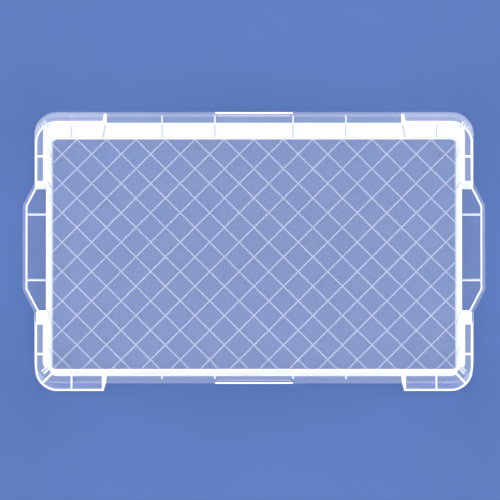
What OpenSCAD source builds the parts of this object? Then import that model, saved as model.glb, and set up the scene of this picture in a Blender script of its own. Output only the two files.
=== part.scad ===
// Under bed box: an open, low storage tub of clear plastic with a wide stiffened rim.
// Four double-walled corner columns carry the box above, and a handle stands out at each end.
// Millimetres, +Z up, origin on the floor under the middle of the box. Length runs along X.
// The tub is one moulding; each node is one of its features, face to face with its neighbours.

/* [Tub] */
// Length of the mouth, between the rim's inner edges
mouth_l = 643; // [480:1:900]
// Width of the mouth, between the rim's inner edges
mouth_w = 383; // [300:1:560]
// Height from the floor to the top of the rim
box_h = 165; // [130:1:240]
// Corner radius of the mouth
mouth_r = 13.4; // [12:0.2:24]
// Thickness of the tub's walls
wall_t = 2.5; // [1.6:0.1:3.2]
// Thickness of the bottom
base_t = 2.5; // [1.6:0.1:4]
// Lean of every wall, in degrees from upright
draft = 2; // [0.5:0.1:2]

/* [Stacking foot] */
// Height of the foot, which drops into the mouth of the box below
foot_h = 18; // [12:0.5:26]
// How far the foot is set in from the wall above it
foot_in = 1.2; // [0.4:0.1:1.2]
// Height of the thick ring where the wall steps out above the foot
foot_lap = 1.5; // [1:0.1:3]

/* [Diamond grid on the bottom] */
// Distance between crossings, along X and along Y
grid_pitch = 46.2; // [30:0.2:80]
// Width of a grid rib
grid_rib_w = 2.4; // [1.4:0.1:4]
// Height of a grid rib above the bottom
grid_rib_h = 1; // [0.5:0.1:2]

/* [Rim] */
// Width of the rim's flat top
rim_w = 16; // [13:0.5:22]
// Thickness of the rim's flat top
rim_t = 2.5; // [1.6:0.1:3.5]
// Drop from the rim's top to the top of the lip
rim_drop = 15.7; // [12:0.1:24]
// Thickness of the skirt that hangs from the rim
skirt_t = 2.2; // [1.4:0.1:3]
// How far the lip stands out from the skirt
lip_w = 4.7; // [3.5:0.1:7]
// Thickness of the lip
lip_t = 2.2; // [1.4:0.1:3]

/* [Corner columns] */
// Length of a column along each side, from the lip's outer edge
column_l = 112.6; // [90:0.2:130]
// Thickness of the column's outer wall
column_t = 3; // [2:0.1:3.4]
// Thickness of the wall that closes each end of a column
column_end_t = 3.2; // [2:0.1:4]
// Distance of the rib inside a column from the lip's outer edge
column_rib_at = 57; // [44:0.5:70]
// Height of the ribs that tie a column's foot to the tub
column_rib_h = 16; // [8:0.5:40]
// Thickness of every stiffening rib
rib_t = 2.3; // [1.4:0.1:3]

/* [Corner braces under the rim] */
// Width of the strip that thickens the end wall under the rim
brace_w = 5; // [3:0.1:7]
// Distance of the second corner bar from the diagonal one
brace_bar_at = 4.6; // [3.6:0.1:6]
// Thickness of the second corner bar
brace_bar_t = 2; // [1.2:0.1:2.4]

/* [End handles] */
// How far a handle stands out past the rim's lip
handle_out = 18; // [12:0.5:30]
// Length of the handle's straight grip, at its lip
handle_l = 132.2; // [100:0.2:150]
// Length along the side of each slanted shoulder
handle_run = 34.8; // [24:0.2:40]
// Distance of each rib inside a handle from the middle of the handle
handle_rib_at = 51.3; // [36:0.1:58]

/* [Long sides] */
// Length of the thick grip bead in the middle of each long side, where it takes the lip's place
bead_l = 122; // [80:1:160]
// Height of the grip bead
bead_h = 13; // [6:0.5:16]
// Distance from the middle of the box to the outer gussets
gusset_at = 143.3; // [110:0.1:160]
// How far a gusset stands out from the wall at its lower end
gusset_toe = 4; // [2:0.5:8]
// Height of a gusset's lower end above the floor
gusset_z = 36; // [28:1:60]

/* [Hidden] */
$fn = 96;

// The four corner axes, which every rounded corner shares
corner_x = mouth_l / 2 - mouth_r;
corner_y = mouth_w / 2 - mouth_r;

// Radii from a corner axis. On a straight side they are distances from the line of corner axes
skirt_out = mouth_r + rim_w;
skirt_in = skirt_out - skirt_t;
lip_out = skirt_out + lip_w;
column_in = lip_out - column_t;

// Levels
rim_under = box_h - rim_t;
lip_top = box_h - rim_drop;
lip_under = lip_top - lip_t;
lap_top = foot_h + foot_lap;
column_rib_top = foot_h + column_rib_h;

// Outer edges of the lip, from the middle of the box
lip_x = corner_x + lip_out;
lip_y = corner_y + lip_out;

// Ends of the handles, and the tangent that keeps a handle's bands parallel round its bends
handle_half = handle_l / 2 + handle_run;
mitre = tan(atan(handle_out / handle_run) / 2);

// Tall enough, or deep enough, to cut right through the part that it trims
reach = mouth_l + mouth_w;

// Radius of the wall's inner face at a height: the foot is set in by foot_in
function wall_in(z) = mouth_r - (box_h - z) * tan(draft);
function foot_in_face(z) = wall_in(z) - foot_in;
// Radius of the wall's outer face above the foot
function wall_out(z) = wall_in(z) + wall_t;

// Distance from a corner axis at which a bar meets a round face, when one side of the bar
// lies at the given distance from the diagonal
function chord(r, side) = sqrt(pow(r, 2) - pow(side, 2));

// Inner face of a column's end wall at a height, from the lip's outer edge on that side
function column_end_in(lip_edge, z) =
    lip_edge - column_l + (box_h - z) * tan(draft) + column_end_t;

// Edge of a handle seen from above, set in by g from the outer edge of its lip
function handle_bend(g) = handle_half - g * mitre;
function handle_flat(g) = handle_l / 2 - g * mitre;

// ---- Placing ----

// Turns a shape made in the back right quarter into one of the other quarters
module quarter(side_x, side_y) {
    mirror([side_x < 0 ? 1 : 0, 0, 0])
        mirror([0, side_y < 0 ? 1 : 0, 0])
            children();
}

// Runs a side profile (radius, height) along the back side, between two X positions
module along_long(from, to) {
    translate([from, corner_y, 0])
        rotate([90, 0, 90])
            linear_extrude(to - from)
                children();
}

// Runs a side profile along the right-hand side, between two Y positions
module along_short(from, to) {
    translate([corner_x, to, 0])
        rotate([90, 0, 0])
            linear_extrude(to - from)
                children();
}

// Turns a side profile round the back right corner
module round_corner() {
    translate([corner_x, corner_y, 0])
        rotate_extrude(angle = 90)
            children();
}

// Runs a side profile across the back right corner, between two distances from its diagonal
module across_corner(from, to) {
    translate([corner_x, corner_y, 0])
        rotate([90, 0, 45])
            translate([0, 0, -to])
                linear_extrude(to - from)
                    children();
}

// Rectangle with round corners on the corner axes
module rounded_plan(r) {
    square([2 * (corner_x + r), 2 * corner_y], center = true);
    square([2 * corner_x, 2 * (corner_y + r)], center = true);
    for (x = [-corner_x, corner_x], y = [-corner_y, corner_y])
        translate([x, y]) circle(r);
}

// ---- Side profiles, as radius and height ----

// Tub wall from the bottom panel to the underside of the rim, with the step above the foot
module wall_profile() {
    polygon([
        [foot_in_face(base_t), base_t],
        [foot_in_face(base_t) + wall_t, base_t],
        [foot_in_face(foot_h) + wall_t, foot_h],
        [wall_out(foot_h), foot_h],
        [wall_out(rim_under), rim_under],
        [wall_in(rim_under), rim_under],
        [wall_in(lap_top), lap_top],
        [foot_in_face(lap_top), lap_top]
    ]);
}

// Rim's flat top and the skirt that hangs from its outer edge
module rim_profile() {
    polygon([
        [mouth_r, box_h],
        [mouth_r, rim_under],
        [skirt_in, rim_under],
        [skirt_in, lip_under],
        [skirt_out, lip_under],
        [skirt_out, box_h]
    ]);
}

// Lip round the bottom of the skirt
module lip_profile() {
    translate([skirt_out, lip_under])
        square([lip_w, lip_t]);
}

// Everything between the tub wall and the skirts, from the foot to the rim's underside
module bay_profile() {
    polygon([
        [wall_out(foot_h), foot_h],
        [column_in, foot_h],
        [column_in, lip_under],
        [skirt_in, lip_under],
        [skirt_in, rim_under],
        [wall_out(rim_under), rim_under]
    ]);
}

// Foot of a column, from the tub wall out to radius r
module column_rib_profile(r) {
    polygon([
        [wall_out(foot_h), foot_h],
        [r, foot_h],
        [r, column_rib_top],
        [wall_out(column_rib_top), column_rib_top]
    ]);
}

// Channel under the rim's flat top, from the tub wall out to radius r
module channel_profile(r) {
    polygon([
        [wall_out(lip_under), lip_under],
        [r, lip_under],
        [r, rim_under],
        [wall_out(rim_under), rim_under]
    ]);
}

// Gusset that tapers down the outside of the wall from the skirt
module gusset_profile() {
    polygon([
        [wall_out(gusset_z), gusset_z],
        [wall_out(gusset_z) + gusset_toe, gusset_z],
        [skirt_in, lip_under],
        [skirt_in, rim_under],
        [wall_out(rim_under), rim_under]
    ]);
}

// ---- Bottom ----

module base_panel() {
    color("lightsteelblue")
        linear_extrude(base_t)
            rounded_plan(foot_in_face(base_t) + wall_t);
}

// Ribs at 45 degrees both ways, with a crossing at the middle, clear of the walls' lean
module base_grid() {
    spacing = grid_pitch / sqrt(2);
    lines = ceil((corner_x + corner_y + 2 * mouth_r) / sqrt(2) / spacing);
    color("aliceblue")
        translate([0, 0, base_t])
            linear_extrude(grid_rib_h)
                intersection() {
                    rounded_plan(foot_in_face(base_t));
                    for (turn = [45, -45], i = [-lines : lines])
                        rotate(turn)
                            translate([0, i * spacing])
                                square([reach, grid_rib_w], center = true);
                }
}

// ---- Walls ----

module wall_long(side_y) {
    color("azure")
        quarter(1, side_y)
            along_long(-corner_x, corner_x)
                wall_profile();
}

module wall_short(side_x) {
    color("azure")
        quarter(side_x, 1)
            along_short(-corner_y, corner_y)
                wall_profile();
}

module wall_corner(side_x, side_y) {
    color("azure")
        quarter(side_x, side_y)
            round_corner()
                wall_profile();
}

// ---- Rim ----

// The lip stops at a mitre on each side of the grip bead
module rim_long(side_y) {
    color("lavender")
        quarter(1, side_y) {
            along_long(-corner_x, corner_x)
                rim_profile();
            for (side_x = [-1, 1])
                quarter(side_x, 1)
                    translate([0, corner_y, lip_under])
                        linear_extrude(lip_t)
                            polygon([
                                [bead_l / 2 - lip_w, skirt_out],
                                [bead_l / 2, lip_out],
                                [corner_x, lip_out],
                                [corner_x, skirt_out]
                            ]);
        }
}

// Between a handle and a corner
module rim_end(side_x, side_y) {
    color("lavender")
        quarter(side_x, side_y)
            along_short(handle_half, corner_y) {
                rim_profile();
                lip_profile();
            }
}

module rim_corner(side_x, side_y) {
    color("lavender")
        quarter(side_x, side_y)
            round_corner() {
                rim_profile();
                lip_profile();
            }
}

// ---- Handles ----

// Flat top, from the mouth to the outer face of the handle's skirt
module handle_top(side_x) {
    color("lightblue")
        quarter(side_x, 1)
            translate([0, 0, rim_under])
                linear_extrude(rim_t)
                    polygon([
                        [mouth_l / 2, -handle_half],
                        [lip_x - lip_w, -handle_half],
                        [lip_x - lip_w, -handle_bend(lip_w)],
                        [lip_x + handle_out - lip_w, -handle_flat(lip_w)],
                        [lip_x + handle_out - lip_w, handle_flat(lip_w)],
                        [lip_x - lip_w, handle_bend(lip_w)],
                        [lip_x - lip_w, handle_half],
                        [mouth_l / 2, handle_half]
                    ]);
}

// Straight band of the grip, between two insets from the lip's outer edge
module grip_band(g_out, g_in) {
    polygon([
        [lip_x + handle_out - g_out, -handle_flat(g_out)],
        [lip_x + handle_out - g_out, handle_flat(g_out)],
        [lip_x + handle_out - g_in, handle_flat(g_in)],
        [lip_x + handle_out - g_in, -handle_flat(g_in)]
    ]);
}

// Slanted band of a shoulder, which ends square against the rim
module shoulder_band(g_out, g_in) {
    polygon([
        [lip_x + handle_out - g_out, handle_flat(g_out)],
        [lip_x - g_out, handle_bend(g_out)],
        [lip_x - g_out, handle_half],
        [lip_x - g_in, handle_half],
        [lip_x - g_in, handle_bend(g_in)],
        [lip_x + handle_out - g_in, handle_flat(g_in)]
    ]);
}

// Skirt under the handle's top, with the lip round its foot
module handle_grip(side_x) {
    color("white")
        quarter(side_x, 1) {
            translate([0, 0, lip_under])
                linear_extrude(lip_t)
                    grip_band(0, lip_w + skirt_t);
            translate([0, 0, lip_top])
                linear_extrude(rim_under - lip_top)
                    grip_band(lip_w, lip_w + skirt_t);
        }
}

module handle_shoulder(side_x, side_y) {
    color("white")
        quarter(side_x, side_y) {
            translate([0, 0, lip_under])
                linear_extrude(lip_t)
                    shoulder_band(0, lip_w + skirt_t);
            translate([0, 0, lip_top])
                linear_extrude(rim_under - lip_top)
                    shoulder_band(lip_w, lip_w + skirt_t);
        }
}

// Cross ribs from the tub wall to the grip's skirt
module handle_ribs(side_x) {
    color("white")
        for (side_y = [-1, 1])
            quarter(side_x, side_y)
                along_short(handle_rib_at - rib_t / 2, handle_rib_at + rib_t / 2)
                    channel_profile(skirt_in + handle_out);
}

// ---- Corner columns ----

// End wall of a column, seen from its side: it leans in towards the corner as it goes down
module column_end_plan(lip_edge) {
    top_at = lip_edge - column_l;
    foot_at = top_at + (box_h - foot_h) * tan(draft);
    under_at = top_at + rim_t * tan(draft);
    polygon([
        [foot_at, foot_h],
        [foot_at + column_end_t, foot_h],
        [under_at + column_end_t, rim_under],
        [under_at, rim_under]
    ]);
}

// Outer wall of a column, seen from its side, from its leaning end to the corner
module column_face_plan(lip_edge, corner_at) {
    top_at = lip_edge - column_l;
    foot_at = top_at + (box_h - foot_h) * tan(draft);
    lip_at = top_at + (box_h - lip_under) * tan(draft);
    polygon([
        [foot_at, foot_h],
        [corner_at, foot_h],
        [corner_at, lip_under],
        [lip_at, lip_under]
    ]);
}

module column_long(side_x, side_y) {
    color("gainsboro")
        quarter(side_x, side_y) {
            translate([0, lip_y, 0])
                rotate([90, 0, 0])
                    linear_extrude(column_t)
                        column_face_plan(lip_x, corner_x);
            intersection() {
                along_long(0, corner_x)
                    bay_profile();
                translate([0, lip_y, 0])
                    rotate([90, 0, 0])
                        linear_extrude(lip_out)
                            column_end_plan(lip_x);
            }
        }
}

module column_short(side_x, side_y) {
    color("gainsboro")
        quarter(side_x, side_y) {
            translate([lip_x - column_t, 0, 0])
                rotate([90, 0, 90])
                    linear_extrude(column_t)
                        column_face_plan(lip_y, corner_y);
            intersection() {
                along_short(0, corner_y)
                    bay_profile();
                translate([corner_x, 0, 0])
                    rotate([90, 0, 90])
                        linear_extrude(lip_out)
                            column_end_plan(lip_y);
            }
        }
}

module column_corner(side_x, side_y) {
    color("gainsboro")
        quarter(side_x, side_y)
            round_corner()
                translate([column_in, foot_h])
                    square([column_t, lip_under - foot_h]);
}

// Low ribs that tie the foot of a column to the tub: one on each side and one across the corner.
// The corner rib stops where its flat ends meet the round faces
module column_ribs(side_x, side_y) {
    half = rib_t / 2;
    long_at = lip_x - column_rib_at;
    short_at = lip_y - column_rib_at;
    color("whitesmoke")
        quarter(side_x, side_y) {
            along_long(long_at - half, long_at + half)
                column_rib_profile(column_in);
            along_short(short_at - half, short_at + half)
                column_rib_profile(column_in);
            across_corner(-half, half)
                column_rib_profile(chord(column_in, half));
        }
}

// Stiffening in the channel under the rim: a strip beside the end wall that follows the corner,
// a bar across the corner, and a shorter bar beside it from the strip to the skirt
module corner_brace(side_x, side_y) {
    half = rib_t / 2;
    bar_near = brace_bar_at - brace_bar_t / 2;
    bar_far = brace_bar_at + brace_bar_t / 2;
    strip_r = wall_out(rim_under) + brace_w;
    color("whitesmoke")
        quarter(side_x, side_y) {
            along_short(column_end_in(lip_y, lip_under), corner_y)
                channel_profile(strip_r);
            translate([corner_x, corner_y, 0])
                rotate_extrude(angle = 45 - asin(bar_near / strip_r))
                    channel_profile(strip_r);
            across_corner(-half, half)
                channel_profile(chord(skirt_in, half));
            across_corner(-bar_far, -bar_near)
                translate([chord(strip_r, bar_near), lip_under])
                    square([chord(skirt_in, bar_far) - chord(strip_r, bar_near), rim_under - lip_under]);
        }
}

// ---- Long sides ----

module grip_bead(side_y) {
    color("white")
        quarter(1, side_y)
            translate([0, corner_y, lip_top - bead_h])
                linear_extrude(bead_h)
                    polygon([
                        [-bead_l / 2, lip_out],
                        [lip_w - bead_l / 2, skirt_out],
                        [bead_l / 2 - lip_w, skirt_out],
                        [bead_l / 2, lip_out]
                    ]);
}

// A gusset at each end of the grip bead, and one further out on each side
module gussets(side_y) {
    color("white")
        for (side_x = [-1, 1], at = [bead_l / 2, gusset_at])
            quarter(side_x, side_y)
                along_long(at - rib_t / 2, at + rib_t / 2)
                    gusset_profile();
}

base_panel();
base_grid();
wall_long(-1);  // wall_front
wall_long(1);  // wall_back
wall_short(-1);  // wall_left
wall_short(1);  // wall_right
wall_corner(-1, -1);  // wall_corner_front_left
wall_corner(1, -1);  // wall_corner_front_right
wall_corner(-1, 1);  // wall_corner_back_left
wall_corner(1, 1);  // wall_corner_back_right
rim_long(-1);  // rim_front
rim_long(1);  // rim_back
rim_end(-1, -1);  // rim_end_front_left
rim_end(1, -1);  // rim_end_front_right
rim_end(-1, 1);  // rim_end_back_left
rim_end(1, 1);  // rim_end_back_right
rim_corner(-1, -1);  // rim_corner_front_left
rim_corner(1, -1);  // rim_corner_front_right
rim_corner(-1, 1);  // rim_corner_back_left
rim_corner(1, 1);  // rim_corner_back_right
handle_top(-1);  // handle_top_left
handle_top(1);  // handle_top_right
handle_grip(-1);  // handle_grip_left
handle_grip(1);  // handle_grip_right
handle_shoulder(-1, -1);  // handle_shoulder_front_left
handle_shoulder(1, -1);  // handle_shoulder_front_right
handle_shoulder(-1, 1);  // handle_shoulder_back_left
handle_shoulder(1, 1);  // handle_shoulder_back_right
handle_ribs(-1);  // handle_ribs_left
handle_ribs(1);  // handle_ribs_right
column_long(-1, -1);  // column_long_front_left
column_long(1, -1);  // column_long_front_right
column_long(-1, 1);  // column_long_back_left
column_long(1, 1);  // column_long_back_right
column_short(-1, -1);  // column_short_front_left
column_short(1, -1);  // column_short_front_right
column_short(-1, 1);  // column_short_back_left
column_short(1, 1);  // column_short_back_right
column_corner(-1, -1);  // column_corner_front_left
column_corner(1, -1);  // column_corner_front_right
column_corner(-1, 1);  // column_corner_back_left
column_corner(1, 1);  // column_corner_back_right
column_ribs(-1, -1);  // column_ribs_front_left
column_ribs(1, -1);  // column_ribs_front_right
column_ribs(-1, 1);  // column_ribs_back_left
column_ribs(1, 1);  // column_ribs_back_right
corner_brace(-1, -1);  // corner_brace_front_left
corner_brace(1, -1);  // corner_brace_front_right
corner_brace(-1, 1);  // corner_brace_back_left
corner_brace(1, 1);  // corner_brace_back_right
grip_bead(-1);  // grip_bead_front
grip_bead(1);  // grip_bead_back
gussets(-1);  // gussets_front
gussets(1);  // gussets_back
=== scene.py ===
"""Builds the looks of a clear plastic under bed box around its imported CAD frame."""

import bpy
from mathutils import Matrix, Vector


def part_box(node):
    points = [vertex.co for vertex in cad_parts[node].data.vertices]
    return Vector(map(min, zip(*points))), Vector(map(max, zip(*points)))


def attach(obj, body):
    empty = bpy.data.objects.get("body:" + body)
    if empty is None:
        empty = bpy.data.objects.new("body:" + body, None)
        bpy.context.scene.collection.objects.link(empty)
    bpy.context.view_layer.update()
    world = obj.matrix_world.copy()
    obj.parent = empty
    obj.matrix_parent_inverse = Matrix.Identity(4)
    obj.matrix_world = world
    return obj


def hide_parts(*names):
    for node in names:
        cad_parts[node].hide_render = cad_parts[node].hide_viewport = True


bl_info = {
    "name": "Clear under bed box",
    "version": (1, 0, 0),
    "blender": (4, 5, 0),
    "location": "View3D > Sidebar > Under bed box",
    "description": "Builds a clear moulded storage box piece by piece, and the studio round it",
    "category": "Object",
}

import math

import bmesh
import bpy
from bpy.props import FloatProperty, FloatVectorProperty, PointerProperty
from mathutils import Matrix, Vector

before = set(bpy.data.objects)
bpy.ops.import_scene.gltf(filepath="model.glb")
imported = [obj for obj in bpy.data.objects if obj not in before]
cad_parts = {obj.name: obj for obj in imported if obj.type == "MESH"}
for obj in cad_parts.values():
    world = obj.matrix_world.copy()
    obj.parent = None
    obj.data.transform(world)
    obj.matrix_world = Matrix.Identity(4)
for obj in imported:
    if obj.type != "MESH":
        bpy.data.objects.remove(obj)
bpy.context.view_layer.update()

MM = 0.001
BODY = "root"
SIDES = {"left": -1, "right": 1}
ENDS = {"front": -1, "back": 1}
CORNERS = [(end, side) for end in ENDS for side in SIDES]
ARC_STEPS = 12
DRAFT = math.tan(math.radians(2))
# Touching pieces reach this far into each other, so that no two faces share a place
SEAM = 0.4 * MM
# A face that would lie in its neighbour's face stands back by this much
STAND_BACK = 0.06 * MM
# Points closer than this are one point, and points this close to a mirror's plane are on it
SAME_POINT, ON_MIRROR = 0.005 * MM, 0.001 * MM
# Edges that turn by more than the first angle are rounded, and by more than the second shade as edges
ROUNDED_TURN, CRISP_TURN = math.radians(40), math.radians(32)
# Faces that turn by less than this are one face
FLAT_TURN = math.radians(1)
# A face whose normal points up by more than this is level
LEVEL_NORMAL = 0.99
# Share of the edge radius that columns and beads take, and that the tub and the ribs take
COLUMN_EDGE, RIB_EDGE = 0.5, 0.4
# Where the further plastics of a piece stand in its list, after its own plastic at 0
ROOT_SHADE = 1
FLAT_BOTTOM, STEP, RIB_SHADE = 1, 2, 3
GRIP_SKIRT, THIN_TOP, UPRIGHT, LIP = 1, 2, 3, 4
BEAD_WEB = 1


# ---- Sizes that come from the CAD frame ----


class Mould:
    """Levels and radii of the moulding, in metres. A radius is measured from a corner's upright axis."""

    def __init__(self):
        rim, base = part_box("rim_front"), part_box("base_panel")
        end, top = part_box("rim_end_back_right"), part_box("handle_top_right")
        grip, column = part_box("handle_grip_right"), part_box("column_long_back_right")
        self.corner_x, self.corner_y = rim[1].x, end[1].y
        self.mouth = -rim[1].y - self.corner_y
        self.height, self.lip_under = rim[1].z, rim[0].z
        self.rim_under, self.base_top = top[0].z, base[1].z
        self.lip_x = end[1].x
        self.lip_out = self.lip_x - self.corner_x
        self.lip_y = self.corner_y + self.lip_out
        self.skirt_out = self.lip_out - (grip[1].x - top[1].x)
        self.handle_out = grip[1].x - self.lip_x
        self.handle_half, self.grip_half = end[0].y, grip[1].y
        self.foot_top = column[0].z
        self.column_end_top = column[0].x - (self.height - self.rim_under) * DRAFT
        self.foot_at_base = base[1].x - self.corner_x

    def column_start(self, edge, z):
        """Outer face of a column's end wall at height z, for a lip edge at the given distance."""
        top = self.lip_x - self.column_end_top
        return edge - top + (self.height - z) * DRAFT

    def wall_in(self, z):
        """Radius of the tub wall's inner face at height z."""
        return self.mouth - (self.height - z) * DRAFT

    def wall_out(self, z):
        """Radius of the tub wall's outer face at height z."""
        return self.wall_in(z) + bpy.context.scene.box_sizes.wall

    def skirt_in(self):
        """Radius of the inner face of the rim's skirt."""
        return self.skirt_out - bpy.context.scene.box_sizes.skirt

    def column_in(self):
        """Radius of the inner face of a column's skirt."""
        return self.lip_out - bpy.context.scene.box_sizes.column

    def foot_out(self, z):
        """Radius of the foot's outer face at height z."""
        return self.foot_at_base + (z - self.base_top) * DRAFT


mould = Mould()


# ---- Colour and nodes ----

# Where a Mix node keeps its two colours and its result
MIX_FIRST, MIX_SECOND, MIX_RESULT = 6, 7, 2
# Sizes in millimetres of the flow's clouds in the cover, the tint and the gloss, and of the mould's grain
COVER_CLOUD, TINT_CLOUD, GLOSS_CLOUD, SKIN_GRAIN = 60, 90, 35, 9
# Height of the painted highlight, a bright band over a lower edge, and how much that band covers
BRIGHT_BAND, BRIGHT_COVER = 1.2 * MM, 0.97
# Depth of the mould's grain as bump
SKIN_DEPTH = 0.03 * MM
POLYPROPYLENE_IOR = 1.49


def linear(colour):
    """Turns an sRGB hex colour such as 8FA8D8 into linear red, green, blue and alpha."""
    values = [int(colour[i : i + 2], 16) / 255 for i in (0, 2, 4)]
    return tuple(v / 12.92 if v <= 0.04045 else ((v + 0.055) / 1.055) ** 2.4 for v in values) + (1.0,)


def add_node(tree, kind, settings=None, links=None):
    """Adds one node. settings are its properties, or its inputs by name; links feed its inputs."""
    node = tree.nodes.new(kind)
    for key, value in (settings or {}).items():
        if isinstance(key, str) and hasattr(node, key):
            setattr(node, key, value)
        else:
            node.inputs[key].default_value = value
    for key, source in (links or {}).items():
        tree.links.new(source, node.inputs[key])
    return node


def new_material(name):
    """An empty material, with its tree and its shader. Nothing is linked to the shader yet."""
    material = bpy.data.materials.new(name)
    material.use_nodes = True
    tree = material.node_tree
    tree.nodes.clear()
    shader = add_node(tree, "ShaderNodeBsdfPrincipled")
    add_node(tree, "ShaderNodeOutputMaterial", links={"Surface": shader.outputs["BSDF"]})
    return material, tree, shader


def mm_scale(size):
    """Noise scale that gives features of the given size in millimetres."""
    return 1 / (size * MM)


def flow_clouds(tree, places, size, low, high):
    """Broad soft clouds, as the plastic's flow leaves them, between two values."""
    noise = add_node(
        tree,
        "ShaderNodeTexNoise",
        {"Scale": mm_scale(size), "Detail": 3.0, "Roughness": 0.55},
        {"Vector": places},
    )
    return add_node(
        tree,
        "ShaderNodeMapRange",
        {"From Min": 0.3, "From Max": 0.7, "To Min": low, "To Max": high},
        {"Value": noise.outputs["Fac"]},
    ).outputs["Result"]


def mould_skin(tree, shader, places):
    """The slight unevenness that a polished steel mould leaves, as bump."""
    grain = add_node(
        tree,
        "ShaderNodeTexNoise",
        {"Scale": mm_scale(SKIN_GRAIN), "Detail": 2.0, "Roughness": 0.5},
        {"Vector": places},
    )
    bump = add_node(
        tree, "ShaderNodeBump", {"Strength": 0.5, "Distance": SKIN_DEPTH}, {"Height": grain.outputs["Fac"]}
    )
    tree.links.new(bump.outputs["Normal"], shader.inputs["Normal"])


def painted_edge_highlight(tree, places, level, cover):
    """Painted highlight: the cover, raised in a soft-topped band from a level upwards, so that the white
    plastic there shows bright.
    """
    height = add_node(tree, "ShaderNodeSeparateXYZ", links={"Vector": places}).outputs["Z"]
    band = add_node(
        tree,
        "ShaderNodeMapRange",
        {
            "From Min": level + BRIGHT_BAND,
            "From Max": level + 0.4 * BRIGHT_BAND,
            "To Min": 0.0,
            "To Max": 1.0,
        },
        {"Value": height},
    ).outputs["Result"]
    bright = add_node(tree, "ShaderNodeMath", {"operation": "MULTIPLY", 1: BRIGHT_COVER}, {0: band})
    return add_node(
        tree, "ShaderNodeMath", {"operation": "MAXIMUM"}, {0: cover, 1: bright.outputs["Value"]}
    ).outputs["Value"]


def polypropylene(name, face, grazing, start, end, edges=(), painted_glow=0.0, pale="F4F7FE", deep=None):
    """Clear moulded polypropylene. face is how much it covers what lies behind, seen square on, and
    grazing how much it covers seen at a low angle: the cover rises from start to end of the facing
    value. edges are the levels of lower edges, where a band is painted nearly opaque white: a painted
    highlight for light that runs inside the plastic and comes out there. painted_glow is an even white
    emission, painted light that stands for the room's light that milky plastic scatters inside itself.
    pale and deep are its two tints; deep is the user's tint unless it is given."""
    if name in bpy.data.materials:
        return bpy.data.materials[name]
    user_tint = tuple(bpy.context.scene.box_colours.plastic) + (1.0,)
    material, tree, shader = new_material(name)
    places = add_node(tree, "ShaderNodeTexCoord").outputs["Object"]
    facing = add_node(tree, "ShaderNodeLayerWeight", {"Blend": 0.5}).outputs["Facing"]
    cover = add_node(
        tree,
        "ShaderNodeMapRange",
        {"From Min": start, "From Max": end, "To Min": face, "To Max": grazing},
        {"Value": facing},
    ).outputs["Result"]
    clouds = flow_clouds(tree, places, COVER_CLOUD, 0.94, 1.06)
    cover = add_node(
        tree, "ShaderNodeMath", {"operation": "MULTIPLY", "use_clamp": True}, {0: cover, 1: clouds}
    ).outputs["Value"]
    # Each lower edge gets a band of painted highlight
    for level in edges:
        cover = painted_edge_highlight(tree, places, level, cover)
    tree.links.new(cover, shader.inputs["Alpha"])
    tint = add_node(
        tree,
        "ShaderNodeMix",
        {
            "data_type": "RGBA",
            MIX_FIRST: linear(pale),
            MIX_SECOND: linear(deep) if deep else user_tint,
        },
        {0: flow_clouds(tree, places, TINT_CLOUD, 0.2, 0.8)},
    )
    tree.links.new(tint.outputs[MIX_RESULT], shader.inputs["Base Color"])
    tree.links.new(flow_clouds(tree, places, GLOSS_CLOUD, 0.16, 0.26), shader.inputs["Roughness"])
    shader.inputs["IOR"].default_value = POLYPROPYLENE_IOR
    # The even white emission is painted glow: the plastic is no lamp
    shader.inputs["Emission Color"].default_value = linear("FFFFFF")
    shader.inputs["Emission Strength"].default_value = painted_glow
    mould_skin(tree, shader, places)
    return material


# Tints of plastic that is deep enough to scatter all the light
WHITE = {"pale": "FFFFFF", "deep": "F6F7F9"}


def polished_sheet():
    """Polypropylene from a polished mould, seen square on: a faint milky veil over what lies behind."""
    return polypropylene("polypropylene_polished_sheet", face=0.05, grazing=0.22, start=0.75, end=0.99)


def milky_wall():
    """The same plastic in tall walls. Seen along a wall, light crosses so much of it that it is white. A
    faint painted glow lifts that white.
    """
    return polypropylene(
        "polypropylene_milky_wall",
        face=0.08,
        grazing=0.98,
        start=0.5,
        end=0.86,
        painted_glow=0.1,
        **WHITE,
    )


def painted_step_shade():
    """Painted shade: a faint grey line along each wall at the step above the foot, where the step turns the
    light aside.
    """
    return polypropylene(
        "polypropylene_painted_step_shade",
        face=0.3,
        grazing=0.5,
        start=0.5,
        end=0.95,
        pale="8A909E",
        deep="7F8798",
    )


def painted_rib_shade():
    """Painted shade: a faint grey line down the wall opposite each rib and end wall, where the rib behind
    it turns the light aside.
    """
    return polypropylene(
        "polypropylene_sink_line",
        face=0.16,
        grazing=0.97,
        start=0.5,
        end=0.86,
        pale="CACED9",
        deep="C2C7D3",
    )


def column_end_wall():
    """A column's end walls are thicker than the tub's, so they whiten sooner as the view gets lower. A
    stronger painted glow brightens them where they stand in shade.
    """
    return polypropylene(
        "polypropylene_column_end",
        face=0.16,
        grazing=0.99,
        start=0.42,
        end=0.82,
        painted_glow=0.32,
        **WHITE,
    )


def rim_sheet():
    """The flat rim, thicker than the bottom, so its veil is a little denser."""
    return polypropylene("polypropylene_rim_sheet", face=0.062, grazing=0.45, start=0.75, end=0.99)


def thin_sheet():
    """The thinnest polished sheet, over the finger gaps and behind a bead's bar: all but clear."""
    return polypropylene("polypropylene_thin_sheet", face=0.022, grazing=0.7, start=0.6, end=0.99)


def clear_skirt(name, edges):
    """Thin polished skirts: nearly clear, with a painted highlight that makes the lower edge shine white.
    """
    return polypropylene(
        "polypropylene_clear_" + name,
        face=0.03,
        grazing=0.45,
        start=0.88,
        end=0.997,
        edges=edges,
    )


def rim_upright():
    """The rim's own skirt and the edge of its lip, too low to gather much milkiness."""
    return polypropylene("polypropylene_rim_upright", face=0.03, grazing=0.3, start=0.85, end=0.997)


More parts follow.
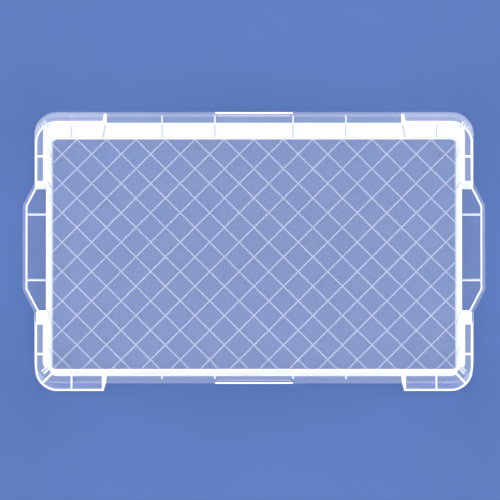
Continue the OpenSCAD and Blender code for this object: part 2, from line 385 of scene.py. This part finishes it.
def thick_lip():
    """The lip's edge gathers light from three sides, so it whitens sooner than the sheet."""
    return polypropylene("polypropylene_thick_lip", face=0.06, grazing=0.5, start=0.6, end=0.99)


def painted_root_shade():
    """Painted shade: a faint grey line round a rib's root, for the light that the small fillet there bends
    away.
    """
    return polypropylene(
        "polypropylene_painted_root_shade",
        face=0.8,
        grazing=0.85,
        start=0.4,
        end=0.9,
        pale="7C828F",
        deep="727989",
    )


def rib_plastic():
    """Thin ribs and braces, with a painted highlight that makes their lower edges shine white."""
    levels = [mould.foot_top, mould.lip_under]
    return polypropylene(
        "polypropylene_thin_rib",
        face=0.1,
        grazing=0.8,
        start=0.7,
        end=0.95,
        edges=levels,
    )


def gusset_plastic():
    """Tapering gussets of the long sides, a little milkier than the wall that they stiffen."""
    return polypropylene("polypropylene_gusset", face=0.34, grazing=0.7, start=0.7, end=0.95)


def grid_plastic():
    """Low ribs on the bottom: more plastic in the way of the light, so a paler line with a soft gloss."""
    return polypropylene("polypropylene_low_grid", face=0.1, grazing=0.3, start=0.6, end=0.95)


def solid_bead():
    """The grip bead's bar is thick plastic, so it is white all through, and a painted glow brightens it
    further.
    """
    return polypropylene(
        "polypropylene_thick_bead",
        face=0.75,
        grazing=0.98,
        start=0.3,
        end=0.8,
        painted_glow=0.2,
        **WHITE,
    )


# ---- Shaping ----


def wire(bm, points, place, closed=False):
    """Joins (radius, height) points into a wire. place turns each into a position."""
    verts = [bm.verts.new(place(*point)) for point in points]
    edges = [bm.edges.new(pair) for pair in zip(verts, verts[1:])]
    if closed:
        edges.append(bm.edges.new((verts[-1], verts[0])))
    return edges


def pulled(bm, edges, place):
    """Extrudes a wire and sets each new corner where place puts it. Gives the new end's edges."""
    made = bmesh.ops.extrude_edge_only(bm, edges=edges)["geom"]
    ends = {part for part in made if isinstance(part, bmesh.types.BMVert)}
    for vert in ends:
        vert.co = place(vert.co)
    return [part for part in made if isinstance(part, bmesh.types.BMEdge) and set(part.verts) <= ends]


def turned(bm, edges, angle=math.pi / 2, axis=(0, 0, -1)):
    """Spins a wire round the back right corner, and gives the new end's edges."""
    verts = list(dict.fromkeys(vert for edge in edges for vert in edge.verts))
    last = bmesh.ops.spin(
        bm,
        geom=verts + edges,
        cent=(mould.corner_x, mould.corner_y, 0),
        axis=axis,
        angle=angle,
        steps=ARC_STEPS,
    )["geom_last"]
    return [part for part in last if isinstance(part, bmesh.types.BMEdge)]


def quarter_ring(bm, points, closed=False):
    """Sweeps a profile from the middle of the back side to the end of the back right corner."""
    edges = wire(bm, points, lambda r, z: Vector((0, mould.corner_y + r, z)), closed)
    edges = pulled(bm, edges, lambda co: Vector((mould.corner_x, co.y, co.z)))
    return turned(bm, edges)


def everything(bm):
    """All the parts of a bmesh, as its operators take them."""
    return bm.verts[:] + bm.edges[:] + bm.faces[:]


def four_quarters(bm):
    """Mirrors the back right quarter to the left and to the front, and joins the seams."""
    for axis in "XY":
        bmesh.ops.mirror(bm, geom=everything(bm), axis=axis, merge_dist=ON_MIRROR)
    bmesh.ops.remove_doubles(bm, verts=bm.verts, dist=SAME_POINT)


def divide(bm, point, across):
    """Divides every face that crosses the plane through a point."""
    bmesh.ops.bisect_plane(bm, geom=everything(bm), plane_co=point, plane_no=across)


def to_quarter(bm, side, end):
    """Moves what was made in the back right quarter to the quarter of that side and end."""
    bmesh.ops.scale(bm, vec=(SIDES[side], ENDS[end], 1), verts=bm.verts)


def prism(bm, outline, push):
    """A solid from a flat outline, pushed out by a vector."""
    face = bm.faces.new([bm.verts.new(point) for point in outline])
    made = bmesh.ops.extrude_face_region(bm, geom=[face])["geom"]
    bmesh.ops.translate(bm, vec=push, verts=[part for part in made if isinstance(part, bmesh.types.BMVert)])


def across_corner(bm, profile, start, thickness):
    """A bar of the given (radius, height) profile on the back right corner's diagonal."""
    before, m = set(bm.verts), mould
    prism(bm, [(m.corner_x + r, m.corner_y + start, z) for r, z in profile], (0, thickness, 0))
    bar = [vert for vert in bm.verts if vert not in before]
    bmesh.ops.rotate(
        bm, cent=(m.corner_x, m.corner_y, 0), matrix=Matrix.Rotation(math.radians(45), 3, "Z"), verts=bar
    )


def closed_ends(bm):
    """Fills every open loop of edges with one face."""
    bmesh.ops.holes_fill(bm, edges=[edge for edge in bm.edges if edge.is_boundary], sides=0)


def rounded_edges(bm, radius):
    """Rounds every sharp outer edge, as the mould does."""
    sharp = [edge for edge in bm.edges if edge.is_manifold and edge.calc_face_angle(0) > ROUNDED_TURN]
    bmesh.ops.bevel(
        bm,
        geom=sharp,
        offset=radius,
        offset_type="OFFSET",
        segments=2,
        profile=0.5,
        affect="EDGES",
        clamp_overlap=True,
        material=-1,
    )


def root_shade_lines(bm, width):
    """Marks a strip of the given width round the top of each rib, where it meets the rim, for the line of
    painted shade.
    """
    level = [face for face in bm.faces if face.normal.z > LEVEL_NORMAL]
    tops = [face for face in level if face.calc_center_median().z > mould.lip_under]
    if tops:
        made = bmesh.ops.inset_region(
            bm, faces=tops, thickness=width, depth=0, use_even_offset=True, use_boundary=True
        )
        for face in made["faces"]:
            face.material_index = ROOT_SHADE


def make_piece(bm, name, material, stands_for, radius=0.0, root=0.0):
    """Turns a finished bmesh into a piece that rides on the box in place of its CAD nodes. radius
    rounds its edges, and root is the width of the line of painted shade round each rib's root."""
    bmesh.ops.recalc_face_normals(bm, faces=bm.faces)
    if radius:
        rounded_edges(bm, radius)
    if root:
        bm.normal_update()
        root_shade_lines(bm, root)
    mesh = bpy.data.meshes.new(name)
    bm.to_mesh(mesh)
    bm.free()
    mesh.polygons.foreach_set("use_smooth", [True] * len(mesh.polygons))
    mesh.set_sharp_from_angle(angle=CRISP_TURN)
    mesh.materials.append(material)
    if root:
        mesh.materials.append(painted_root_shade())
    piece = bpy.data.objects.new(name, mesh)
    even = piece.modifiers.new("even_faces", "WEIGHTED_NORMAL")
    even.keep_sharp = True
    bpy.context.scene.collection.objects.link(piece)
    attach(piece, BODY)
    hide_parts(*stands_for)
    return piece


# ---- What a user can change ----


class BoxSizes(bpy.types.PropertyGroup):
    """Wall thicknesses and the rounding of edges."""

    wall: FloatProperty(
        name="Wall", description="Thickness of the tub's walls", default=2.5 * MM, unit="LENGTH"
    )
    skirt: FloatProperty(
        name="Skirt", description="Thickness of the rim's skirt", default=2.2 * MM, unit="LENGTH"
    )
    lip: FloatProperty(
        name="Lip", description="Thickness of the rim's lip", default=2.2 * MM, unit="LENGTH"
    )
    column: FloatProperty(
        name="Column", description="Thickness of a column's skirt", default=3.0 * MM, unit="LENGTH"
    )
    column_end: FloatProperty(
        name="Column end", description="Thickness of a column's end wall", default=3.2 * MM, unit="LENGTH"
    )
    rib: FloatProperty(
        name="Rib", description="Thickness of every rib", default=2.3 * MM, unit="LENGTH"
    )
    bar: FloatProperty(
        name="Bar", description="Thickness of the second corner bar", default=2.0 * MM, unit="LENGTH"
    )
    bar_at: FloatProperty(
        name="Bar place",
        description="Second bar's distance from the diagonal",
        default=4.6 * MM,
        unit="LENGTH",
    )
    strip: FloatProperty(
        name="Strip", description="Width of the corner strip", default=5 * MM, unit="LENGTH"
    )
    toe: FloatProperty(
        name="Toe", description="Width of a gusset's lower end", default=4 * MM, unit="LENGTH"
    )
    lap: FloatProperty(
        name="Lap", description="Height of the step above the foot", default=1.5 * MM, unit="LENGTH"
    )
    edge: FloatProperty(
        name="Edge", description="Radius of a moulded edge", default=0.6 * MM, unit="LENGTH"
    )
    root: FloatProperty(
        name="Root", description="Width of the line round a rib's root", default=0.75 * MM, unit="LENGTH"
    )
    bead: FloatProperty(
        name="Bead", description="Width of a grip bead's thick bar", default=1.5 * MM, unit="LENGTH"
    )


class BoxColours(bpy.types.PropertyGroup):
    """Colours of the plastic and of the floor."""

    plastic: FloatVectorProperty(
        name="Plastic",
        description="Milky tint of the clear plastic",
        subtype="COLOR",
        default=linear("E6EDFB")[:3],
    )
    floor: FloatVectorProperty(
        name="Floor",
        description="Paint of the studio floor",
        subtype="COLOR",
        default=linear("42598C")[:3],
    )


# ---- Pieces ----


class UNDERBED_OT_tub(bpy.types.Operator):
    """Moulds the bottom, the foot and the four walls as one shell"""

    bl_idname = "underbed.tub"
    bl_label = "Tub"

    def execute(self, context):
        sizes, bm = context.scene.box_sizes, bmesh.new()
        foot, lap, top = mould.foot_top, mould.foot_top + sizes.lap, mould.rim_under + SEAM
        floor, fillet, step_rise = mould.base_top, 2 * MM, 0.8 * MM
        # The middle of a fillet stands this far off both of its flats
        middle = 0.3 * fillet
        foot_in = mould.foot_out(floor) - sizes.wall
        profile = [
            (foot_in - fillet, floor),
            (foot_in - middle, floor + middle),
            (foot_in + fillet * DRAFT, floor + fillet),
            (mould.foot_out(lap) - sizes.wall, lap),
            (mould.wall_in(lap), lap + step_rise),
            (mould.wall_in(top), top),
            (mould.wall_in(top) + sizes.wall, top),
            (mould.wall_in(foot) + sizes.wall, foot),
            (mould.foot_out(foot), foot),
            (mould.foot_out(fillet), fillet),
            (mould.foot_out(0) - middle, middle),
            (mould.foot_out(0) - fillet, 0),
        ]
        edges = quarter_ring(bm, profile)
        pulled(bm, edges, lambda co: Vector((co.x, 0, co.z)))
        four_quarters(bm)
        closed_ends(bm)
        strips = self.rib_shade_strips(sizes)
        for axis, first, last, lean in strips:
            for place in (-last, -first, first, last):
                self.cut(bm, axis, place, lean if place > 0 else -lean)
        nodes = ["base_panel"] + ["wall_" + name for name in (*ENDS, *SIDES)]
        nodes += ["wall_corner_%s_%s" % corner for corner in CORNERS]
        piece = make_piece(bm, "tub", milky_wall(), nodes, RIB_EDGE * sizes.edge)
        for material in (polished_sheet(), painted_step_shade(), painted_rib_shade()):
            piece.data.materials.append(material)
        bottom_high, step_low, step_high = 4 * MM, lap - 0.2 * MM, lap + MM
        for face in piece.data.polygons:
            height, leans_back = face.center.z, face.normal.z > 0.3
            if height < bottom_high:
                face.material_index = FLAT_BOTTOM
            # the step's faces take the line of painted shade
            elif leans_back and step_low < height < step_high:
                face.material_index = STEP
            # faces opposite a rib or end wall take the line of painted shade
            elif height > step_high and self.in_strip(face.center, strips):
                face.material_index = RIB_SHADE
        return {"FINISHED"}

    def rib_shade_strips(self, sizes):
        """Axis, first and last place at the rim, and lean of the strip of painted shade opposite each rib
        and end wall.
        """
        low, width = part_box("column_ribs_back_right")[0], sizes.rib
        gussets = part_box("gussets_back")[1].x - width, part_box("grip_bead_back")[1].x - width / 2
        strips = [(0, start, start + width, 0) for start in (low.x, *gussets)]
        strips.append((1, low.y, low.y + width, 0))
        for axis, edge in enumerate((mould.lip_x, mould.lip_y)):
            start = mould.column_start(edge, mould.height) + STAND_BACK
            strips.append((axis, start, start + sizes.column_end, DRAFT))
        return strips

    def cut(self, bm, axis, place, lean):
        """Cuts the shell's faces where a strip begins or ends."""
        across = (1, 0, lean) if axis == 0 else (0, 1, lean)
        on_plane = (place, 0, mould.height) if axis == 0 else (0, place, mould.height)
        divide(bm, on_plane, across)

    def in_strip(self, centre, strips):
        """Whether a wall's face lies in a strip that crosses that wall."""
        for axis, first, last, lean in strips:
            shift = (mould.height - centre.z) * lean
            beside = abs(centre[1 - axis]) > (mould.corner_y if axis == 0 else mould.corner_x)
            if beside and first < abs(centre[axis]) - shift < last:
                return True
        return False


class UNDERBED_OT_grid(bpy.types.Operator):
    """Beds the diamond grid into the bottom"""

    bl_idname = "underbed.grid"
    bl_label = "Diamond grid"

    def execute(self, context):
        bm = bmesh.new()
        bm.from_mesh(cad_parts["base_grid"].data)
        bmesh.ops.remove_doubles(bm, verts=bm.verts, dist=SAME_POINT)
        feet_below = mould.base_top + 0.1 * MM
        for vert in bm.verts:
            if vert.co.z < feet_below:
                vert.co.z -= SEAM
        bmesh.ops.dissolve_limit(bm, angle_limit=FLAT_TURN, verts=bm.verts, edges=bm.edges)
        make_piece(bm, "diamond_grid", grid_plastic(), ["base_grid"])
        return {"FINISHED"}


class UNDERBED_OT_rim(bpy.types.Operator):
    """Moulds the flat rim, its skirt and its lip with the two handles"""

    bl_idname = "underbed.rim"
    bl_label = "Rim and handles"

    def execute(self, context):
        sizes, bm = context.scene.box_sizes, bmesh.new()
        m = mould
        skirt_in, lip_top = m.skirt_in(), m.lip_under + sizes.lip
        profile = [
            (m.mouth, m.height),
            (m.mouth, m.rim_under),
            (skirt_in, m.rim_under),
            (skirt_in, m.lip_under),
            (m.skirt_out, m.lip_under),
            (m.lip_out, m.lip_under),
            (m.lip_out, lip_top),
            (m.skirt_out, lip_top),
            (m.skirt_out, m.height),
        ]
        mitre = math.tan(math.atan(m.handle_out / (m.handle_half - m.grip_half)) / 2)
        inner = m.corner_x + 0.5 * (m.mouth + skirt_in)

        def at_bend(co):
            inset = max(m.lip_x - co.x, 0) if co.x > inner else 0
            return Vector((co.x, m.handle_half - inset * mitre, co.z))

        def at_grip(co):
            if co.x < inner:
                return Vector((co.x, m.grip_half, co.z))
            return Vector((co.x + m.handle_out, m.grip_half - (m.lip_x - co.x) * mitre, co.z))

        edges = quarter_ring(bm, profile, closed=True)
        edges = pulled(bm, edges, lambda co: Vector((co.x, m.handle_half, co.z)))
        edges = pulled(bm, edges, at_bend)
        edges = pulled(bm, edges, at_grip)
        pulled(bm, edges, lambda co: Vector((co.x, 0, co.z)))
        four_quarters(bm)
        for bead_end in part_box("grip_bead_back"):
            divide(bm, (bead_end.x, 0, 0), (1, 0, 0))
        nodes = ["rim_front", "rim_back"] + ["handle_top_" + side for side in SIDES]
        nodes += ["handle_grip_" + side for side in SIDES]
        for kind in ("rim_end", "rim_corner", "handle_shoulder"):
            nodes += ["%s_%s_%s" % (kind, end, side) for end, side in CORNERS]
        piece = make_piece(bm, "rim_and_handles", rim_sheet(), nodes, sizes.edge)
        for material in (clear_skirt("grip", [m.lip_under]), thin_sheet(), rim_upright(), thick_lip()):
            piece.data.materials.append(material)
        for face in piece.data.polygons:
            self.choose_plastic(face)
        return {"FINISHED"}

    def choose_plastic(self, face):
        """Gives one face of the rim the plastic of its place, by its radius from the corner axes."""
        m, place = mould, face.center
        slope = m.handle_out / (m.handle_half - m.grip_half)
        stands_out = min(m.handle_out, max(0, (m.handle_half - abs(place.y)) * slope))
        along, across = abs(place.y) - m.corner_y, abs(place.x) - m.corner_x - stands_out
        radius = math.hypot(along, across) if min(along, across) > 0 else max(along, across)
        on_handle = abs(place.y) < m.handle_half and abs(place.x) > m.corner_x
        beside_bead = abs(place.x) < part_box("grip_bead_back")[1].x
        past_skirt, below_rim = m.skirt_out + 0.3 * MM, m.rim_under - MM
        faces_up, upright = face.normal.z >= 0.9, abs(face.normal.z) < 0.5
        if radius > past_skirt:
            face.material_index = THIN_TOP if beside_bead else LIP
        elif on_handle and place.z < below_rim and not faces_up:
            face.material_index = GRIP_SKIRT
        elif upright:
            face.material_index = UPRIGHT
        elif on_handle:
            face.material_index = THIN_TOP


class UNDERBED_OT_columns(bpy.types.Operator):
    """Moulds the skirt and the two end walls of each corner column"""

    bl_idname = "underbed.columns"
    bl_label = "Corner columns"

    def execute(self, context):
        sizes = context.scene.box_sizes
        skirt, wall = clear_skirt("column", [mould.foot_top]), column_end_wall()
        for end, side in CORNERS:
            place = "%s_%s" % (end, side)
            self.skirt(sizes, place, side, end, skirt)
            for along in ("long", "short"):
                self.end_wall(sizes, place, side, end, along, wall)
        return {"FINISHED"}

    def skirt(self, sizes, place, side, end, material):
        """The outer wall of a column, from one end wall round the corner to the other."""
        m, bm = mould, bmesh.new()
        out, top = m.lip_out - STAND_BACK, m.lip_under + SEAM
        inside = m.column_in()
        profile = [(inside, m.foot_top), (out, m.foot_top), (out, top), (inside, top)]
        edges = wire(
            bm, profile, lambda r, z: Vector((m.column_start(m.lip_x, z), m.corner_y + r, z)), closed=True
        )
        edges = pulled(bm, edges, lambda co: Vector((m.corner_x, co.y, co.z)))
        edges = turned(bm, edges)
        pulled(bm, edges, lambda co: Vector((co.x, m.column_start(m.lip_y, co.z), co.z)))
        closed_ends(bm)
        to_quarter(bm, side, end)
        nodes = ["column_corner_" + place]
        make_piece(bm, "column_skirt_" + place, material, nodes, COLUMN_EDGE * sizes.edge)

    def end_wall(self, sizes, place, side, end, along, material):
        """One of the two walls that close a column, from the tub to the skirts."""
        m, bm = mould, bmesh.new()
        skirt_in, inside = m.skirt_in(), m.column_in()
        low, high = m.foot_top + STAND_BACK, m.rim_under + SEAM
        bay = [
            (m.wall_out(low) - SEAM, low),
            (inside + SEAM, low),
            (inside + SEAM, m.lip_under + SEAM),
            (skirt_in + SEAM, m.lip_under + SEAM),
            (skirt_in + SEAM, high),
            (m.wall_out(high) - SEAM, high),
        ]
        edge = m.lip_x if along == "long" else m.lip_y
        starts = [m.column_start(edge, z) + STAND_BACK for r, z in bay]
        if along == "long":
            outline = [(start, m.corner_y + r, z) for start, (r, z) in zip(starts, bay)]
            push = (sizes.column_end, 0, 0)
        else:
            outline = [(m.corner_x + r, start, z) for start, (r, z) in zip(starts, bay)]
            push = (0, sizes.column_end, 0)
        prism(bm, outline, push)
        to_quarter(bm, side, end)
        name, nodes = "column_end_%s_%s" % (along, place), ["column_%s_%s" % (along, place)]
        make_piece(bm, name, material, nodes, COLUMN_EDGE * sizes.edge)


class UNDERBED_OT_column_ribs(bpy.types.Operator):
    """Moulds the low ribs in the foot of each corner column"""

    bl_idname = "underbed.column_ribs"
    bl_label = "Column ribs"

    def execute(self, context):
        material = rib_plastic()
        for end, side in CORNERS:
            self.ribs(context.scene.box_sizes, "%s_%s" % (end, side), side, end, material)
        return {"FINISHED"}

    def ribs(self, sizes, place, side, end, material):
        """Two straight ribs and one on the diagonal, from the tub to the column's skirt."""
        m, bm = mould, bmesh.new()
        low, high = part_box("column_ribs_back_right")
        bottom, inside = m.foot_top + STAND_BACK, m.column_in() + SEAM
        profile = [
            (m.wall_out(bottom) - SEAM, bottom),
            (inside, bottom),
            (inside, high.z),
            (m.wall_out(high.z) - SEAM, high.z),
        ]
        prism(bm, [(low.x, m.corner_y + r, z) for r, z in profile], (sizes.rib, 0, 0))
        prism(bm, [(m.corner_x + r, low.y, z) for r, z in profile], (0, sizes.rib, 0))
        across_corner(bm, profile, -sizes.rib / 2, sizes.rib)
        to_quarter(bm, side, end)
        name = "column_ribs_" + place
        make_piece(bm, name, material, [name], RIB_EDGE * sizes.edge)


class UNDERBED_OT_corner_braces(bpy.types.Operator):
    """Moulds the strip and the two bars that stiffen each corner under the rim"""

    bl_idname = "underbed.corner_braces"
    bl_label = "Corner braces"

    def execute(self, context):
        material = rib_plastic()
        for end, side in CORNERS:
            self.brace(context.scene.box_sizes, "%s_%s" % (end, side), side, end, material)
        return {"FINISHED"}

    def brace(self, sizes, place, side, end, material):
        """The strip beside the end wall, the bar on the diagonal and the second bar near it."""
        m, bm = mould, bmesh.new()
        bottom, top = m.lip_under + STAND_BACK, m.rim_under + SEAM
        strip = m.wall_out(m.rim_under) + sizes.strip
        profile = [
            (m.wall_out(bottom) - SEAM, bottom),
            (strip, bottom),
            (strip, top),
            (m.wall_out(top) - SEAM, top),
        ]
        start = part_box("corner_brace_back_right")[0].y - SEAM
        edges = wire(bm, profile, lambda r, z: Vector((m.corner_x + r, start, z)), closed=True)
        edges = pulled(bm, edges, lambda co: Vector((co.x, m.corner_y, co.z)))
        near = sizes.bar_at - sizes.bar / 2
        turned(bm, edges, math.radians(45) - math.asin(near / strip), (0, 0, 1))
        closed_ends(bm)
        skirt = m.skirt_in() + SEAM / 2
        bar = [profile[0], (skirt, bottom), (skirt, top), profile[3]]
        across_corner(bm, bar, -sizes.rib / 2, sizes.rib)
        inner, outer = strip - 2 * SEAM, skirt - SEAM
        short = [(inner, bottom), (outer, bottom), (outer, top), (inner, top)]
        across_corner(bm, short, -near - sizes.bar, sizes.bar)
        to_quarter(bm, side, end)
        name = "corner_brace_" + place
        make_piece(bm, name, material, [name], RIB_EDGE * sizes.edge, sizes.root)


class UNDERBED_OT_handle_ribs(bpy.types.Operator):
    """Moulds the two cross ribs under each handle"""

    bl_idname = "underbed.handle_ribs"
    bl_label = "Handle ribs"

    def execute(self, context):
        sizes, material, m = context.scene.box_sizes, rib_plastic(), mould
        bottom, top = m.lip_under + STAND_BACK, m.rim_under + SEAM
        reach, outer = m.skirt_in() + m.handle_out + SEAM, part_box("handle_ribs_right")[1].y
        profile = [
            (m.wall_out(bottom) - SEAM, bottom),
            (reach, bottom),
            (reach, top),
            (m.wall_out(top) - SEAM, top),
        ]
        for side in SIDES:
            bm = bmesh.new()
            for start in (-outer, outer - sizes.rib):
                prism(bm, [(m.corner_x + r, start, z) for r, z in profile], (0, sizes.rib, 0))
            to_quarter(bm, side, "back")
            name = "handle_ribs_" + side
            make_piece(bm, name, material, [name], RIB_EDGE * sizes.edge, sizes.root)
        return {"FINISHED"}


class UNDERBED_OT_long_sides(bpy.types.Operator):
    """Moulds the grip bead and the tapering gussets of each long side"""

    bl_idname = "underbed.long_sides"
    bl_label = "Grip beads and gussets"

    def execute(self, context):
        sizes = context.scene.box_sizes
        bead, thin = solid_bead(), gusset_plastic()
        for end in ENDS:
            self.bead(sizes, end, bead)
            self.gussets(sizes, end, thin)
        return {"FINISHED"}

    def bead(self, sizes, end, material):
        """The tapered block on the lip: a thick bar outside, and clear plastic behind it."""
        m, bm = mould, bmesh.new()
        low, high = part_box("grip_bead_back")
        inner, outer = m.corner_y + m.skirt_out - SEAM, m.corner_y + m.lip_out - STAND_BACK
        short = high.x - (m.lip_out - m.skirt_out)
        corners = [(low.x, outer), (-short, inner), (short, inner), (high.x, outer)]
        prism(bm, [(x, y, low.z) for x, y in corners], (0, 0, high.z - low.z - STAND_BACK))
        bar_inner = outer - sizes.bead
        divide(bm, (0, bar_inner, 0), (0, 1, 0))
        to_quarter(bm, "right", end)
        name = "grip_bead_" + end
        piece = make_piece(bm, name, material, [name], COLUMN_EDGE * sizes.edge)
        piece.data.materials.append(thin_sheet())
        for face in piece.data.polygons:
            if abs(face.center.y) < bar_inner:
                face.material_index = BEAD_WEB

    def gussets(self, sizes, end, material):
        """The four tapering gussets of one long side, two on each side of the bead."""
        m, bm = mould, bmesh.new()
        low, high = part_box("gussets_back")
        toe, top, skirt = low.z, m.rim_under + SEAM, m.skirt_in() + SEAM
        profile = [
            (m.wall_out(toe) - SEAM, toe),
            (m.wall_out(toe) + sizes.toe, toe),
            (skirt, m.lip_under + STAND_BACK),
            (skirt, top),
            (m.wall_out(top) - SEAM, top),
        ]
        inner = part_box("grip_bead_back")[1].x + sizes.rib / 2
        for start in (-high.x, -inner, inner - sizes.rib, high.x - sizes.rib):
            prism(bm, [(start, m.corner_y + r, z) for r, z in profile], (sizes.rib, 0, 0))
        to_quarter(bm, "right", end)
        name = "gussets_" + end
        make_piece(bm, name, material, [name], RIB_EDGE * sizes.edge)


# ---- Studio ----

FLOOR_RADIUS = 14
# The floor lies just under the box, so that it shares no place with the bottom
FLOOR_GAP = 0.3 * MM
# Size in millimetres of the paint's clouds, and how much darker its dark ones are
FLOOR_CLOUD, FLOOR_SHADE = 400, 0.97
# Each soft box hangs at this distance and is this wide, in metres
SOFT_BOX_AWAY, SOFT_BOX_WIDE = 2.6, 1.6
SOFT_BOXES = (
    ("soft_box_left", -90, 22, 54),
    ("soft_box_right", 90, 22, 54),
    ("soft_box_front", 0, 22, 54),
    ("soft_box_back", 180, 22, 54),
    ("soft_box_top", 25, 80, 8),
)
# Focal length and sensor width in millimetres of a lens so long that the view is nearly parallel
FOCAL_LENGTH, SENSOR_WIDTH = 1500, 36
# The camera's height above the horizon in degrees, and how wide its view is at the box, in metres
CAMERA_ELEVATION, VIEW_WIDTH = 84.3, 0.7808
AIM = Vector((-0.0062, 0.0031, 0.08))


class UNDERBED_OT_studio(bpy.types.Operator):
    """Lays the floor, hangs the soft lights and sets up the camera"""

    bl_idname = "underbed.studio"
    bl_label = "Studio"

    def execute(self, context):
        scene = context.scene
        scene.view_settings.view_transform = "Standard"
        # A ray crosses many clear layers on its way through the box
        scene.cycles.transparent_max_bounces = 48
        self.floor(scene)
        self.lights(scene)
        self.camera(scene)
        return {"FINISHED"}

    def floor(self, scene):
        """A round board with matt paint, its colour a little uneven."""
        bm = bmesh.new()
        bmesh.ops.create_circle(bm, cap_ends=True, segments=96, radius=FLOOR_RADIUS)
        bmesh.ops.translate(bm, vec=(0, 0, -FLOOR_GAP), verts=bm.verts)
        mesh = bpy.data.meshes.new("studio_floor")
        bm.to_mesh(mesh)
        bm.free()
        floor = bpy.data.objects.new("studio_floor", mesh)
        scene.collection.objects.link(floor)
        material, tree, shader = new_material("painted_board_matt")
        places = add_node(tree, "ShaderNodeTexCoord").outputs["Object"]
        paint = tuple(scene.box_colours.floor)
        shade = tuple(FLOOR_SHADE * v for v in paint)
        tint = add_node(
            tree,
            "ShaderNodeMix",
            {"data_type": "RGBA", MIX_FIRST: shade + (1.0,), MIX_SECOND: paint + (1.0,)},
            {0: flow_clouds(tree, places, FLOOR_CLOUD, 0.0, 1.0)},
        )
        tree.links.new(tint.outputs[MIX_RESULT], shader.inputs["Base Color"])
        shader.inputs["Roughness"].default_value = 0.9
        shader.inputs["Specular IOR Level"].default_value = 0.1
        mesh.materials.append(material)

    def lights(self, scene):
        """A pale sky, four low soft boxes and one overhead."""
        world = bpy.data.worlds.new("studio_sky")
        world.use_nodes = True
        world.node_tree.nodes.clear()
        tree = world.node_tree
        sky = add_node(tree, "ShaderNodeBackground", {"Color": linear("FFFDFA"), "Strength": 0.9})
        add_node(tree, "ShaderNodeOutputWorld", links={"Surface": sky.outputs["Background"]})
        scene.world = world
        for name, azimuth, elevation, power in SOFT_BOXES:
            lamp = bpy.data.lights.new(name, "AREA")
            lamp.shape, lamp.size, lamp.energy = "DISK", SOFT_BOX_WIDE, power
            around, up = math.radians(azimuth), math.radians(elevation)
            level = math.cos(up)
            away = Vector((math.sin(around) * level, -math.cos(around) * level, math.sin(up)))
            box = bpy.data.objects.new(name, lamp)
            box.location = SOFT_BOX_AWAY * away
            box.rotation_euler = (-away).to_track_quat("-Z", "Y").to_euler()
            box.visible_camera = False
            scene.collection.objects.link(box)

    def camera(self, scene):
        """A very long lens that looks down at the box, a little from the front."""
        lens = bpy.data.cameras.new("long_lens")
        lens.lens, lens.sensor_width = FOCAL_LENGTH, SENSOR_WIDTH
        lens.clip_start, lens.clip_end = 0.5, 80
        camera = bpy.data.objects.new("long_lens", lens)
        elevation = math.radians(CAMERA_ELEVATION)
        back = Vector((0, -math.cos(elevation), math.sin(elevation)))
        camera.location = AIM + back * VIEW_WIDTH * lens.lens / lens.sensor_width
        camera.rotation_euler = (-back).to_track_quat("-Z", "Y").to_euler()
        scene.collection.objects.link(camera)
        scene.camera = camera


class UNDERBED_PT_panel(bpy.types.Panel):
    """Lists the steps in the sidebar"""

    bl_idname = "UNDERBED_PT_panel"
    bl_label = "Under bed box"
    bl_space_type = "VIEW_3D"
    bl_region_type = "UI"
    bl_category = "Under bed box"

    def draw(self, context):
        for group in (context.scene.box_sizes, context.scene.box_colours):
            for name in group.__annotations__:
                self.layout.prop(group, name)
        for step in STEPS:
            self.layout.operator(step.bl_idname)


STEPS = (
    UNDERBED_OT_studio,
    UNDERBED_OT_tub,
    UNDERBED_OT_grid,
    UNDERBED_OT_rim,
    UNDERBED_OT_columns,
    UNDERBED_OT_column_ribs,
    UNDERBED_OT_corner_braces,
    UNDERBED_OT_handle_ribs,
    UNDERBED_OT_long_sides,
)
CLASSES = (BoxSizes, BoxColours, *STEPS, UNDERBED_PT_panel)


def register():
    for item in CLASSES:
        bpy.utils.register_class(item)
    bpy.types.Scene.box_sizes = PointerProperty(type=BoxSizes)
    bpy.types.Scene.box_colours = PointerProperty(type=BoxColours)


def unregister():
    del bpy.types.Scene.box_colours
    del bpy.types.Scene.box_sizes
    for item in reversed(CLASSES):
        bpy.utils.unregister_class(item)


def main():
    register()
    for step in STEPS:
        group, name = step.bl_idname.split(".")
        getattr(getattr(bpy.ops, group), name)()


if __name__ == "__main__":
    main()
